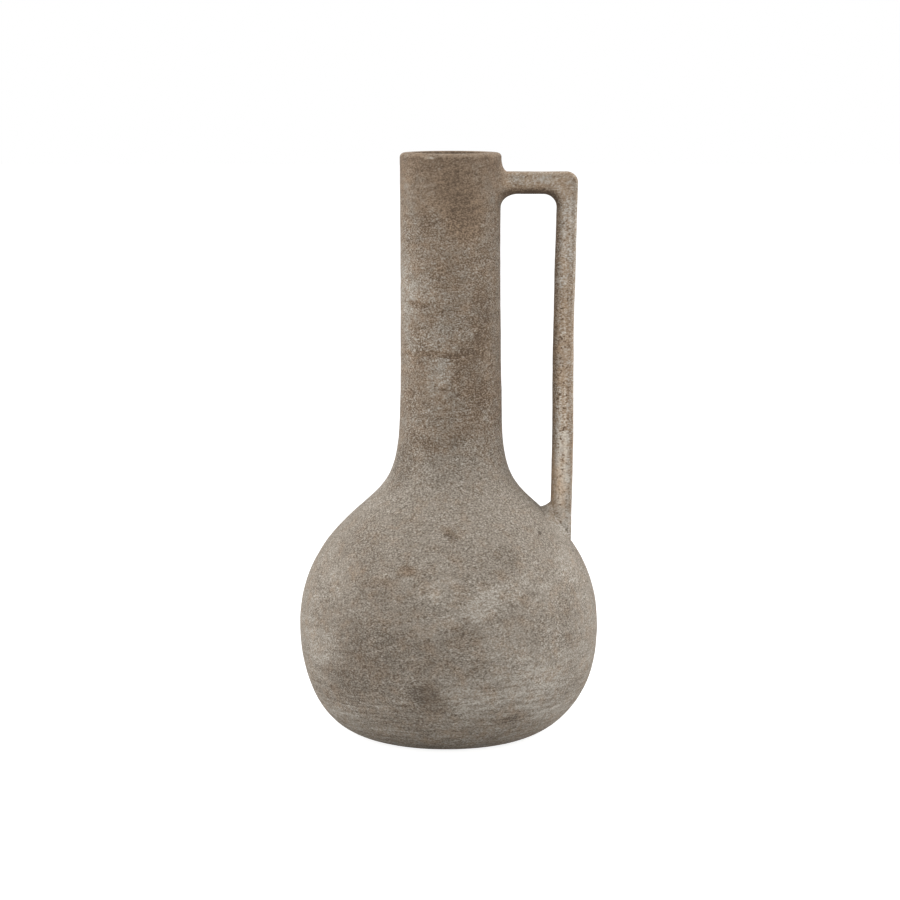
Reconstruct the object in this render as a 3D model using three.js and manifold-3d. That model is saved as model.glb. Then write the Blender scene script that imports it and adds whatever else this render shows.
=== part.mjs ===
// Terracotta bottle vase with one squared strap handle, thrown in sections and luted together with slip.
// Millimetres, +Z up. The origin is the middle of the foot on the table, and the handle points along +X.
import * as THREE from "three";
import { mergeVertices } from "three/addons/utils/BufferGeometryUtils.js";
import Module from "manifold-3d";

const wasm = await Module();
wasm.setup();

// Body: heights are above the table, radii are of the outside
const HEIGHT = 400; // table to lip
const WALL = 7; // clay wall of the thrown sections
const LIP_WALL = 10; // the neck's wall thickens to this at the lip
const FLOOR = 9; // base slab
const FOOT_RADIUS = 57; // edge of the flat foot
const FOOT_RISE = 13.5; // degrees at which the wall leaves the table
const FOOT_REACH = 31; // how long the wall holds that direction
const GIRTH_RADIUS = 103; // widest line of the belly
const GIRTH_HEIGHT = 74;
const BELLY_FULLNESS_BELOW = 35.5; // how upright the wall stays below and above the widest line
const BELLY_FULLNESS_ABOVE = 46.5;
const SHOULDER_RADIUS = 58.5; // where the shoulder turns from round to hollow
const SHOULDER_HEIGHT = 161;
const SHOULDER_SLOPE = 42; // degrees above level there
const SHOULDER_ROUND_REACH = 28; // how long that slope carries down into the belly and up into the neck
const SHOULDER_HOLLOW_REACH = 20;
const NECK_ROOT_RADIUS = 35;
const NECK_ROOT_HEIGHT = 221;
const NECK_ROOT_REACH = 38.5; // how gently the shoulder runs into the neck
const NECK_WAIST_RADIUS = 33.8; // half-way up the neck
const LIP_RADIUS = 34.2;
const LIP_OUTER_ROUND = 3.3;
const LIP_INNER_ROUND = 2;

// Foot: a shallow turned recess leaves a ring to stand on
const FOOT_RING = 15; // width of the ring
const RECESS_DEPTH = 2;
const RECESS_SLOPE = 4; // run of the recess's slanted side

// Joints: slip fills every seam, and the thrown sections are keyed with a wedge
const SLIP = 0.8; // thickness of a luted seam
const FIT = 0.1; // clearance on each side of the slip and of the lining
const KEY_WIDTH = 3;
const KEY_DEPTH = 2.5;

// Lining of glaze
const GLAZE = 0.6;
const GLAZE_MARGIN = 6; // bare clay left below the lip

// Handle: a level arm and an upright, both cut from one flat strap
const ARM_DROP = 13; // lip to the top of the arm
const ARM_THICKNESS = 15;
const HANDLE_REACH = 86; // axis of the vase to the outer corner
const UPRIGHT_LEAN = 0.77; // degrees by which the outer face leans in towards the foot
const UPRIGHT_TOP = 13.8; // thickness under the arm and at the shoulder
const UPRIGHT_FOOT = 14.2;
const STRAP_WIDTH = 20; // along Y
const STRAP_EDGE_ROUND = 4.5;
const CORNER_OUTER_ROUND = 7;
const CORNER_INNER_ROUND = 9.5;

// Soft coils worked into the corners where the handle meets the body.
// Each spreads over the body and climbs along the strap.
const ARM_COIL_ABOVE = { spread: 9.5, climb: 5 };
const ARM_COIL_BESIDE = { spread: 7, climb: 7 };
const ARM_COIL_BELOW = { spread: 9, climb: 11.5 };
const FOOT_COIL_INSIDE = { spread: 7, climb: 10.5 };
const FOOT_COIL_BESIDE = { spread: 4, climb: 4 };
const FOOT_COIL_OUTSIDE = { spread: 1.2, climb: 1.5 };
const COIL_FEATHER = 0.4; // thickness left at a coil's edges
const COIL_SINK = 2; // depth to which a coil is drawn into the wall before the wall trims it

// Facets
const ROUND_SEGMENTS = 40;
const CURVE_SAMPLES = 7;
const NECK_SAMPLES = 5;
const LIP_SAMPLES = 3;
const EDGE_SAMPLES = 3;
const CORNER_SAMPLES = 5;
const COIL_SAMPLES = 4;

// Glaze colour differs, and the slip dries a little paler than the washed clay
const CLAY = 0x8f8172;
const SLIP_CLAY = 0x9d8f80;
const GLAZE_BROWN = 0x5e4a3a;

const point = (radius, height) => new THREE.Vector2(radius, height);
const direction = (degrees) => {
  const angle = THREE.MathUtils.degToRad(degrees);
  return point(Math.cos(angle), Math.sin(angle));
};
const along = (start, heading, distance) => start.clone().addScaledVector(heading, distance);

// Outside line of the body, drawn as four smooth curves from the foot to the lip
const foot = point(FOOT_RADIUS, 0);
const girth = point(GIRTH_RADIUS, GIRTH_HEIGHT);
const shoulder = point(SHOULDER_RADIUS, SHOULDER_HEIGHT);
const neckRoot = point(NECK_ROOT_RADIUS, NECK_ROOT_HEIGHT);
const lip = point(LIP_RADIUS, HEIGHT);
const waistPull = point(
  2 * NECK_WAIST_RADIUS - (NECK_ROOT_RADIUS + LIP_RADIUS) / 2,
  (NECK_ROOT_HEIGHT + HEIGHT) / 2,
);
const upward = direction(90);
const shoulderHeading = direction(180 - SHOULDER_SLOPE);
const neckHeading = waistPull.clone().sub(neckRoot).normalize();

const bowlCurve = new THREE.CubicBezierCurve(
  foot,
  along(foot, direction(FOOT_RISE), FOOT_REACH),
  along(girth, upward, -BELLY_FULLNESS_BELOW),
  girth,
);
const domeCurve = new THREE.CubicBezierCurve(
  girth,
  along(girth, upward, BELLY_FULLNESS_ABOVE),
  along(shoulder, shoulderHeading, -SHOULDER_ROUND_REACH),
  shoulder,
);
const hollowCurve = new THREE.CubicBezierCurve(
  shoulder,
  along(shoulder, shoulderHeading, SHOULDER_HOLLOW_REACH),
  along(neckRoot, neckHeading, -NECK_ROOT_REACH),
  neckRoot,
);
const neckCurve = new THREE.QuadraticBezierCurve(neckRoot, waistPull, lip);

// Points along a curve, moved inwards by a depth, or by one that changes evenly to another.
// A negative depth moves them outwards.
function inset(curve, depth, samples, endDepth = depth) {
  return Array.from({ length: samples + 1 }, (_, i) => {
    const share = i / samples;
    const tangent = curve.getTangent(share);
    const inwards = point(-tangent.y, tangent.x);
    return along(curve.getPoint(share), inwards, THREE.MathUtils.lerp(depth, endDepth, share));
  });
}

// The whole body line at one depth, with a depth of its own at the lip.
// Each curve starts where the one before it ends.
function bodyLine(depth, lipDepth = depth) {
  return [
    ...inset(bowlCurve, depth, CURVE_SAMPLES).slice(0, -1),
    ...inset(domeCurve, depth, CURVE_SAMPLES).slice(0, -1),
    ...inset(hollowCurve, depth, CURVE_SAMPLES).slice(0, -1),
    ...inset(neckCurve, depth, NECK_SAMPLES, lipDepth),
  ];
}

// The inside of the wall, or a line off it towards the axis
const insideLine = (gap) => bodyLine(WALL + gap, LIP_WALL + gap);

// Where a line that climbs all the way crosses a height
function pointAt(line, height) {
  const last = line.length - 1;
  const above = line.findIndex((p) => p.y >= height);
  const upper = above < 0 ? last : Math.max(above, 1);
  const [a, b] = [line[upper - 1], line[upper]];
  return a.clone().lerp(b, (height - a.y) / (b.y - a.y));
}

// The stretch of a line between two heights, without slivers at its ends
const SLIVER = 0.2;
function stretch(line, low, high) {
  const between = line.filter((p) => p.y > low + SLIVER && p.y < high - SLIVER);
  return [pointAt(line, low), ...between, pointAt(line, high)];
}

const outside = bodyLine(0);
const inside = insideLine(0);

// A turned solid. The profile runs counter-clockwise, up the outside and down the inside.
function turned(profile) {
  const onAxis = profile[0].x === 0;
  const closed = onAxis ? profile : [...profile, profile[0]];
  return new THREE.LatheGeometry(closed, ROUND_SEGMENTS).rotateX(Math.PI / 2);
}

// The keyed edge of a thrown section at one height, from the outside in
function keyedEdge(height) {
  const outer = pointAt(outside, height);
  const inner = pointAt(inside, height);
  const middle = (outer.x + inner.x) / 2;
  return [
    outer,
    point(middle + KEY_WIDTH / 2, height),
    point(middle, height - KEY_DEPTH),
    point(middle - KEY_WIDTH / 2, height),
    inner,
  ];
}

// A quarter round of the lip, turned from one heading to another about its centre
function quarterRound(centre, radius, fromDegrees) {
  return Array.from({ length: LIP_SAMPLES + 1 }, (_, i) =>
    along(centre, direction(fromDegrees + (90 * i) / LIP_SAMPLES), radius));
}

const floorSeam = FLOOR + SLIP;
const girthBelow = GIRTH_HEIGHT - SLIP / 2;
const girthAbove = GIRTH_HEIGHT + SLIP / 2;
const neckBelow = NECK_ROOT_HEIGHT - SLIP / 2;
const neckAbove = NECK_ROOT_HEIGHT + SLIP / 2;

function baseDisc() {
  return turned([
    point(0, RECESS_DEPTH),
    point(FOOT_RADIUS - FOOT_RING - RECESS_SLOPE, RECESS_DEPTH),
    point(FOOT_RADIUS - FOOT_RING, 0),
    ...stretch(outside, 0, FLOOR),
    point(0, FLOOR),
  ]);
}

function lowerBowl() {
  return turned([
    ...stretch(outside, floorSeam, girthBelow).slice(0, -1),
    ...keyedEdge(girthBelow),
    ...stretch(inside, floorSeam, girthBelow).reverse().slice(1),
  ]);
}

function shoulderDome() {
  return turned([
    ...stretch(outside, girthAbove, neckBelow).slice(0, -1),
    ...keyedEdge(neckBelow),
    ...stretch(inside, girthAbove, neckBelow).reverse().slice(1, -1),
    ...keyedEdge(girthAbove).reverse().slice(0, -1),
  ]);
}

function neckTube() {
  const outerTop = HEIGHT - LIP_OUTER_ROUND;
  const innerTop = HEIGHT - LIP_INNER_ROUND;
  const outerCentre = point(pointAt(outside, outerTop).x - LIP_OUTER_ROUND, outerTop);
  const innerCentre = point(pointAt(inside, innerTop).x + LIP_INNER_ROUND, innerTop);
  return turned([
    ...stretch(outside, neckAbove, outerTop).slice(0, -1),
    ...quarterRound(outerCentre, LIP_OUTER_ROUND, 0),
    ...quarterRound(innerCentre, LIP_INNER_ROUND, 90),
    ...stretch(inside, neckAbove, innerTop).reverse().slice(1, -1),
    ...keyedEdge(neckAbove).reverse().slice(0, -1),
  ]);
}

// The slip ring under the bowl lies flat, and those in the keyed seams follow the key
function floorSlip() {
  const [low, high] = [FLOOR + FIT, floorSeam - FIT];
  return turned([
    pointAt(outside, low),
    pointAt(outside, high),
    pointAt(inside, high),
    pointAt(inside, low),
  ]);
}

function keyedSlip(height) {
  return turned([
    ...keyedEdge(height + SLIP / 2 - FIT),
    ...keyedEdge(height - SLIP / 2 + FIT).reverse(),
  ]);
}

function innerGlaze() {
  const top = HEIGHT - GLAZE_MARGIN;
  const bottom = FLOOR + FIT;
  const skin = stretch(insideLine(FIT), bottom, top);
  const face = stretch(insideLine(FIT + GLAZE), bottom + GLAZE, top);
  return turned([point(0, bottom), ...skin, ...face.reverse(), point(0, bottom + GLAZE)]);
}

// Solids for cutting, and geometry from the cut solids
function solid(geometry) {
  geometry.deleteAttribute("normal");
  geometry.deleteAttribute("uv");
  const merged = mergeVertices(geometry);
  return new wasm.Manifold(new wasm.Mesh({
    numProp: 3,
    vertProperties: merged.getAttribute("position").array,
    triVerts: Uint32Array.from(merged.index.array),
  }));
}

function surface(body) {
  const { vertProperties, triVerts } = body.getMesh();
  const geometry = new THREE.BufferGeometry();
  geometry.setAttribute("position", new THREE.BufferAttribute(vertProperties, 3));
  geometry.setIndex(new THREE.BufferAttribute(triVerts, 1));
  geometry.computeVertexNormals();
  return geometry;
}

// The body's wall grown by a clearance, round a core as wide as the mouth: it saddle-cuts the handle
const mouthRadius = LIP_RADIUS - LIP_WALL;
function bodyGrownBy(clearance) {
  const skin = bodyLine(-clearance);
  return solid(turned([
    ...skin,
    point(mouthRadius, skin.at(-1).y),
    point(mouthRadius, skin[0].y),
  ]));
}

// Faces of the handle as reaches from the axis, at any height
const armTop = HEIGHT - ARM_DROP;
const armBottom = armTop - ARM_THICKNESS;
const leanRun = Math.tan(THREE.MathUtils.degToRad(UPRIGHT_LEAN));
const uprightOuter = (height) => HANDLE_REACH - (armTop - height) * leanRun;
const uprightThickness = (height) => THREE.MathUtils.mapLinear(
  height, armBottom, SHOULDER_HEIGHT, UPRIGHT_TOP, UPRIGHT_FOOT);
const uprightInner = (height) => uprightOuter(height) - uprightThickness(height);

// One strap bent to a square corner, seen from the side, with its ends hidden in the body's wall
function handleBlank() {
  const root = mouthRadius + LIP_WALL / 2;
  const low = GIRTH_HEIGHT;
  const outline = new THREE.Shape();
  outline.moveTo(root, armBottom);
  outline.lineTo(uprightInner(armBottom) - CORNER_INNER_ROUND, armBottom);
  const innerEnd = armBottom - CORNER_INNER_ROUND;
  outline.quadraticCurveTo(uprightInner(armBottom), armBottom, uprightInner(innerEnd), innerEnd);
  outline.lineTo(uprightInner(low), low);
  outline.lineTo(uprightOuter(low), low);
  const outerEnd = armTop - CORNER_OUTER_ROUND;
  outline.lineTo(uprightOuter(outerEnd), outerEnd);
  outline.quadraticCurveTo(HANDLE_REACH, armTop, HANDLE_REACH - CORNER_OUTER_ROUND, armTop);
  outline.lineTo(root, armTop);
  const flat = STRAP_WIDTH - 2 * STRAP_EDGE_ROUND;
  const strap = new THREE.ExtrudeGeometry(outline, {
    depth: flat,
    curveSegments: CORNER_SAMPLES,
    bevelThickness: STRAP_EDGE_ROUND,
    bevelSize: STRAP_EDGE_ROUND,
    bevelOffset: -STRAP_EDGE_ROUND,
    bevelSegments: EDGE_SAMPLES,
  });
  return solid(strap.translate(0, 0, -flat / 2).rotateX(Math.PI / 2));
}

// A block with one face on the corner's mitre, which runs from the inner corner to the outer one.
// It reaches from one distance across the mitre to another, positive towards the arm.
const BLOCK = 2 * HEIGHT;
function mitreBlock(from, to) {
  const inner = new THREE.Vector3(uprightInner(armBottom), 0, armBottom);
  const outer = new THREE.Vector3(HANDLE_REACH, 0, armTop);
  const seam = outer.clone().sub(inner).normalize();
  const depth = new THREE.Vector3(0, 1, 0);
  const across = new THREE.Vector3().crossVectors(seam, depth);
  const place = new THREE.Matrix4().makeBasis(seam, depth, across);
  place.setPosition(inner.addScaledVector(across, (from + to) / 2));
  return solid(new THREE.BoxGeometry(BLOCK, BLOCK, to - from).applyMatrix4(place));
}

// Rounded outline of the strap's section, each point with its outward direction
function strapSection(halfWidth, halfDepth) {
  const corners = [[1, 1], [-1, 1], [-1, -1], [1, -1]];
  return corners.flatMap(([sideA, sideB], quarter) => {
    const centre = point(sideA * (halfWidth - STRAP_EDGE_ROUND), sideB * (halfDepth - STRAP_EDGE_ROUND));
    return Array.from({ length: COIL_SAMPLES + 1 }, (_, i) => {
      const facing = direction(90 * quarter + (90 * i) / COIL_SAMPLES);
      return { place: along(centre, facing, STRAP_EDGE_ROUND), facing };
    });
  });
}

// Section of a worked coil: how far each point lies off the strap and out of the body's wall
function coilSection({ spread, climb }) {
  const edge = FIT + COIL_FEATHER;
  const hollow = Array.from({ length: COIL_SAMPLES + 1 }, (_, i) => {
    const turn = direction((90 * i) / COIL_SAMPLES);
    return { off: edge + (spread - edge) * (1 - turn.y), out: edge + (climb - edge) * (1 - turn.x) };
  });
  const backs = [{ off: FIT, out: climb }, { off: FIT, out: -COIL_SINK }, { off: spread, out: -COIL_SINK }];
  return [...hollow, ...backs];
}

// A coil skinned over sections that all have as many points, trimmed by the body's wall
function coil(sections) {
  const count = sections[0].length;
  const indices = [];
  sections.forEach((_, i) => {
    const next = (i + 1) % sections.length;
    for (let j = 0; j < count; j += 1) {
      const k = (j + 1) % count;
      const [a, b, c, d] = [i * count + j, next * count + j, next * count + k, i * count + k];
      indices.push(a, b, d, c, d, b);
    }
  });
  const geometry = new THREE.BufferGeometry().setFromPoints(sections.flat());
  geometry.setIndex(indices);
  return surface(solid(geometry).subtract(bodyGrownBy(FIT)));
}

// Size of a coil that changes smoothly between its sides
function coilSize(rise, above, beside, below) {
  const end = rise > 0 ? above : below;
  const share = Math.abs(rise);
  return {
    spread: THREE.MathUtils.lerp(beside.spread, end.spread, share),
    climb: THREE.MathUtils.lerp(beside.climb, end.climb, share),
  };
}

function armRootFillet() {
  const middle = (armTop + armBottom) / 2;
  const section = strapSection(STRAP_WIDTH / 2, ARM_THICKNESS / 2);
  return coil(section.map(({ place, facing }) => {
    const size = coilSize(facing.y, ARM_COIL_ABOVE, ARM_COIL_BESIDE, ARM_COIL_BELOW);
    return coilSection(size).map(({ off, out }) => {
      const y = place.x + facing.x * off;
      const z = middle + place.y + facing.y * off;
      const wall = pointAt(outside, z).x;
      return new THREE.Vector3(Math.sqrt(wall * wall - y * y) + out, y, z);
    });
  }));
}

// Height of the shoulder at a distance from the axis
const shoulderLine = stretch(outside, GIRTH_HEIGHT, NECK_ROOT_HEIGHT);
function shoulderAt(radius) {
  const above = shoulderLine.findIndex((p) => p.x <= radius);
  const [a, b] = [shoulderLine[above - 1], shoulderLine[above]];
  return THREE.MathUtils.mapLinear(radius, a.x, b.x, a.y, b.y);
}

// The upright leans, so a point of the coil finds its reach at its own height in a few steps
const SETTLING_STEPS = 4;
function uprightFootFillet() {
  const half = UPRIGHT_FOOT / 2;
  const section = strapSection(half, STRAP_WIDTH / 2);
  return coil(section.map(({ place, facing }) => {
    const size = coilSize(facing.x, FOOT_COIL_OUTSIDE, FOOT_COIL_BESIDE, FOOT_COIL_INSIDE);
    return coilSection(size).map(({ off, out }) => {
      const y = place.y + facing.y * off;
      let x = 0;
      let z = SHOULDER_HEIGHT;
      for (let step = 0; step < SETTLING_STEPS; step += 1) {
        const middle = (uprightOuter(z) + uprightInner(z)) / 2;
        x = middle + (place.x * uprightThickness(z)) / UPRIGHT_FOOT + facing.x * off;
        z = shoulderAt(Math.hypot(x, y)) + out;
      }
      return new THREE.Vector3(x, y, z);
    });
  }));
}

// The strap is parted along the mitre, each half is saddle-cut, and slip fills the cuts
const blank = handleBlank();
const armBlank = blank.subtract(mitreBlock(-BLOCK, SLIP / 2));
const uprightBlank = blank.subtract(mitreBlock(-SLIP / 2, BLOCK));
const saddle = bodyGrownBy(SLIP);
const saddleSlip = bodyGrownBy(SLIP - FIT).subtract(bodyGrownBy(FIT));
const mitreSlip = mitreBlock(FIT - SLIP / 2, SLIP / 2 - FIT);

const vase = new THREE.Group();
function add(name, geometry, color, roughness) {
  const material = new THREE.MeshStandardMaterial({ color, roughness, metalness: 0 });
  const mesh = new THREE.Mesh(geometry, material);
  mesh.name = name;
  vase.add(mesh);
}

const BARE = 0.92; // roughness of bare fired clay
const GLOSSY = 0.25; // roughness of the glaze
add("base_disc", baseDisc(), CLAY, BARE);
add("floor_slip", floorSlip(), SLIP_CLAY, BARE);
add("lower_bowl", lowerBowl(), CLAY, BARE);
add("girth_slip", keyedSlip(GIRTH_HEIGHT), SLIP_CLAY, BARE);
add("shoulder_dome", shoulderDome(), CLAY, BARE);
add("neck_slip", keyedSlip(NECK_ROOT_HEIGHT), SLIP_CLAY, BARE);
add("neck", neckTube(), CLAY, BARE);
add("inner_glaze", innerGlaze(), GLAZE_BROWN, GLOSSY);
add("handle_arm", surface(armBlank.subtract(saddle)), CLAY, BARE);
add("arm_slip", surface(armBlank.intersect(saddleSlip)), SLIP_CLAY, BARE);
add("arm_root_fillet", armRootFillet(), CLAY, BARE);
add("corner_slip", surface(blank.intersect(mitreSlip)), SLIP_CLAY, BARE);
add("handle_upright", surface(uprightBlank.subtract(saddle)), CLAY, BARE);
add("foot_slip", surface(uprightBlank.intersect(saddleSlip)), SLIP_CLAY, BARE);
add("upright_foot_fillet", uprightFootFillet(), CLAY, BARE);

export default vase;
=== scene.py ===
# Terracotta bottle vase with one squared strap handle, dressed on its CAD frame. Metres, +Z up.
import math

import bpy
import numpy as np
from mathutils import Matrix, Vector, noise


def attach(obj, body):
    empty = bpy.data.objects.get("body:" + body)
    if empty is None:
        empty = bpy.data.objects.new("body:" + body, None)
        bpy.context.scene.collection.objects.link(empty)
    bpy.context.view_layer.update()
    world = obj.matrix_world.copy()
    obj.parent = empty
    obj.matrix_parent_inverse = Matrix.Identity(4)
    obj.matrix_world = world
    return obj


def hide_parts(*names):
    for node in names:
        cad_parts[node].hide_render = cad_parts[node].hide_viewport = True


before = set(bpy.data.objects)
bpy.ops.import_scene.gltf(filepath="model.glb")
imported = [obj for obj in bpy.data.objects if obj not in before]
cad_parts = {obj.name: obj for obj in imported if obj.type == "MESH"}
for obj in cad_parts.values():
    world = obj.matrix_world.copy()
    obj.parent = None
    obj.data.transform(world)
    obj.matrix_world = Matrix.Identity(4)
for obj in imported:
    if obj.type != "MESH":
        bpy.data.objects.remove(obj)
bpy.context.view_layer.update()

# Camera
# A long lens stands a little above the lip and tilts down, so the mouth shows as a thin dark line
# and the belly is seen from slightly higher up. Its distance and tilt are fitted to the outline.
MM = 0.001
CAMERA_DISTANCE = 2000 * MM
CAMERA_HEIGHT = 469.8 * MM
CAMERA_TILT = math.radians(7.78)
CAMERA_LENS = 117.6

camera = bpy.data.objects.new("camera", bpy.data.cameras.new("camera"))
camera.data.lens = CAMERA_LENS
camera.location = (0, -CAMERA_DISTANCE, CAMERA_HEIGHT)
camera.rotation_euler = (math.pi / 2 - CAMERA_TILT, 0, 0)
bpy.context.collection.objects.link(camera)
bpy.context.scene.camera = camera

# Base disc
# A rolled slab of coarse clay closes the bottom. Its underside is turned hollow, which leaves a ring
# to stand on, and its edge carries on the line of the bowl that is luted onto it.
FOOT = np.array([57.0, 0.0])  # the body's outside line, as (radius, height) in millimetres
GIRTH = np.array([103.0, 74.0])
SHOULDER = np.array([58.5, 161.0])
NECK_ROOT = np.array([35.0, 221.0])
LIP = np.array([34.2, 400.0])
NECK_WAIST = 33.8
FOOT_RISE, FOOT_REACH = 13.5, 31.0  # degrees, and how long the line holds them
BELLY_BELOW, BELLY_ABOVE = 35.5, 46.5
SHOULDER_SLOPE, SHOULDER_ROUND, SHOULDER_HOLLOW = 42.0, 28.0, 20.0
NECK_REACH = 38.5
WALL, LIP_WALL = 7.0, 10.0  # the wall thickens up the neck
FLOOR = 9.0
SLIP = 0.8  # thickness of a luted seam
SEAM_LIP = 1.2  # clay smoothed over a seam, which hides the slip
FOOT_RING = 15.0
RECESS_DEPTH, RECESS_SLOPE = 2.0, 4.0
SKIN_STEP = 1.3  # spacing of points on shown and on hidden faces
HIDDEN_STEP = 4.0
BODY_AROUND = 320  # points round the body
SAME_HEIGHT = 0.01  # points of a line this close to an end of a stretch are left out
CURVE_POINTS = 240  # points that a curve is worked out with, before they are spaced
SHARP_EDGE = math.radians(40)  # faces that meet at more than this keep their edge
KEY_HALF, KEY_DEPTH = 1.5, 2.5  # wedge that keys a seam
NECK_LEAN = 0.5  # how far the neck stands towards the handle
LEANS = ((-1.25, 230, 130), (-2.0, 50, 0))  # further lean, gained from one height down to another
OVALS = ((0.30, 2, 0.6, 95), (0.20, 3, 2.0, -41))  # depth, times round, turn, height per radian
OVAL_WITHIN = 20  # radius below which the body gets rounder
DENTS = ((0.28, 38), (0.15, 11), (0.06, 4))  # depth and size of what the hands left


def heading(degrees):
    return np.array([math.cos(math.radians(degrees)), math.sin(math.radians(degrees))])


def bezier(*controls):
    """Points of a Bezier curve, closely spaced."""
    t = np.linspace(0, 1, CURVE_POINTS)[:, None]
    layer = [np.broadcast_to(c, (len(t), 2)) for c in controls]
    while len(layer) > 1:
        layer = [a + (b - a) * t for a, b in zip(layer, layer[1:])]
    return layer[0]


def body_line(depth, thickening=0.0):
    """The body's outside line, foot to lip, moved into the wall by a depth that grows up the neck."""
    up = heading(90)
    slope = heading(180 - SHOULDER_SLOPE)
    pull = np.array([2 * NECK_WAIST - (NECK_ROOT[0] + LIP[0]) / 2, (NECK_ROOT[1] + LIP[1]) / 2])
    into_neck = NECK_ROOT - NECK_REACH * (pull - NECK_ROOT) / np.linalg.norm(pull - NECK_ROOT)
    line = np.concatenate([
        bezier(FOOT, FOOT + FOOT_REACH * heading(FOOT_RISE), GIRTH - BELLY_BELOW * up, GIRTH)[:-1],
        bezier(GIRTH, GIRTH + BELLY_ABOVE * up, SHOULDER - SHOULDER_ROUND * slope, SHOULDER)[:-1],
        bezier(SHOULDER, SHOULDER + SHOULDER_HOLLOW * slope, into_neck, NECK_ROOT)[:-1],
        bezier(NECK_ROOT, pull, LIP),
    ])
    way = np.gradient(line, axis=0)
    way /= np.linalg.norm(way, axis=1)[:, None]
    depths = depth + thickening * np.clip((line[:, 1] - NECK_ROOT[1]) / (LIP[1] - NECK_ROOT[1]), 0, 1)
    return line + depths[:, None] * np.stack([-way[:, 1], way[:, 0]], axis=1)


def inside_line(gap):
    """The inside of the wall, or a line off it towards the axis."""
    return body_line(WALL + gap, LIP_WALL - WALL)


outside = body_line(0.0)
inside = inside_line(0.0)


def radius_at(line, height):
    return np.interp(height, line[:, 1], line[:, 0])


def evenly(path, count):
    """A path's points, spaced evenly along it."""
    run = np.concatenate([[0], np.cumsum(np.linalg.norm(np.diff(path, axis=0), axis=1))])
    spots = np.linspace(0, run[-1], count)
    return np.stack([np.interp(spots, run, path[:, 0]), np.interp(spots, run, path[:, 1])], axis=1)


def stretch(line, low, high, step):
    """The part of a line between two heights, in steps of about the given length."""
    between = line[(line[:, 1] > low + SAME_HEIGHT) & (line[:, 1] < high - SAME_HEIGHT)]
    path = np.concatenate([[(radius_at(line, low), low)], between, [(radius_at(line, high), high)]])
    length = np.linalg.norm(np.diff(path, axis=0), axis=1).sum()
    return evenly(path, max(2, round(length / step) + 1))


def smooth(value, low, high):
    """Goes from 0 at low to 1 at high without a kink."""
    t = np.clip((value - low) / (high - low), 0, 1)
    return t * t * (3 - 2 * t)


def hand_drift(points):
    """How far the hand-made vase leans and is out of round at each point, in millimetres."""
    angle = np.arctan2(points[:, 0], -points[:, 1])
    height = points[:, 2]
    lean = NECK_LEAN + sum(shift * smooth(height, start, end) for shift, start, end in LEANS)
    oval = sum(depth * np.sin(times * angle + turn + height / twist) for depth, times, turn, twist in OVALS)
    oval *= np.minimum(np.hypot(points[:, 0], points[:, 1]) / OVAL_WITHIN, 1)
    return np.stack([lean + oval * np.sin(angle), -oval * np.cos(angle), np.zeros(len(points))], axis=1)


def clay_relief(points):
    """Dents and soft lumps left by the hands, in millimetres along the outward direction."""
    return np.array([sum(depth * noise.noise(Vector(p / size)) for depth, size in DENTS) for p in points])


def skinned(name, rows, closed, material, wash_and_painted_shade=None):
    """A piece from rows of points round it, each with its outward directions where it is a shown skin.

    The wash value tells, row by row, where the wash lies thick (1) and where painted shade darkens the clay
    (-1).
    """
    around = max(len(points) for points, _ in rows)
    spots, index, start = [], [], 0
    for points, outward in rows:
        if outward is not None:
            points = points + outward * clay_relief(points)[:, None]
        index.append([start + i % len(points) for i in range(around)])
        start += len(points)
        spots.append(points)
    faces = []
    for low, high in zip(index, index[1:] + (index[:1] if closed else [])):
        for i in range(around):
            k = (i + 1) % around
            loop = list(dict.fromkeys((low[i], low[k], high[k], high[i])))
            if len(loop) > 2:
                faces.append(loop)
    spots = np.concatenate(spots)
    mesh = bpy.data.meshes.new(name)
    mesh.from_pydata(((spots + hand_drift(spots)) * MM).tolist(), [], faces)
    mesh.shade_smooth()
    mesh.set_sharp_from_angle(angle=SHARP_EDGE)
    if wash_and_painted_shade is not None:
        values = np.concatenate([row[:len(points)] for row, (points, _) in zip(wash_and_painted_shade, rows)])
        mesh.attributes.new("wash_and_painted_shade", "FLOAT", "POINT").data.foreach_set("value", values)
    mesh.materials.append(material)
    piece = bpy.data.objects.new(name, mesh)
    bpy.context.collection.objects.link(piece)
    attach(piece, "root")
    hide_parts(name)
    return piece


def turned(name, stretches, around, material):
    """Turns a counter-clockwise profile of (radius, height), whose stretches say whether they are shown."""
    angles = np.arange(around) * 2 * math.pi / around
    outward = np.stack([np.sin(angles), -np.cos(angles), np.zeros(around)], axis=1)
    rows = []
    for profile, shown in stretches:
        for radius, height in profile:
            ring = outward[:around if radius > 0 else 1] * radius + (0, 0, height)
            rows.append((ring, outward if shown else None))
    return skinned(name, rows, len(rows[0][0]) > 1, material)


def seam_edge(height, side, keyed):
    """A section's edge at a seam, from the outside in, hollowed by half the slip towards its own side."""
    outer = radius_at(outside, height) - SEAM_LIP
    inner = radius_at(inside, height) + SEAM_LIP
    middle = (outer + inner) / 2
    level = height + side * SLIP / 2
    wedge = [(middle + KEY_HALF, level), (middle, level - KEY_DEPTH), (middle - KEY_HALF, level)]
    return [(outer, height), (outer, level), *(wedge if keyed else []), (inner, level), (inner, height)]


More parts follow.
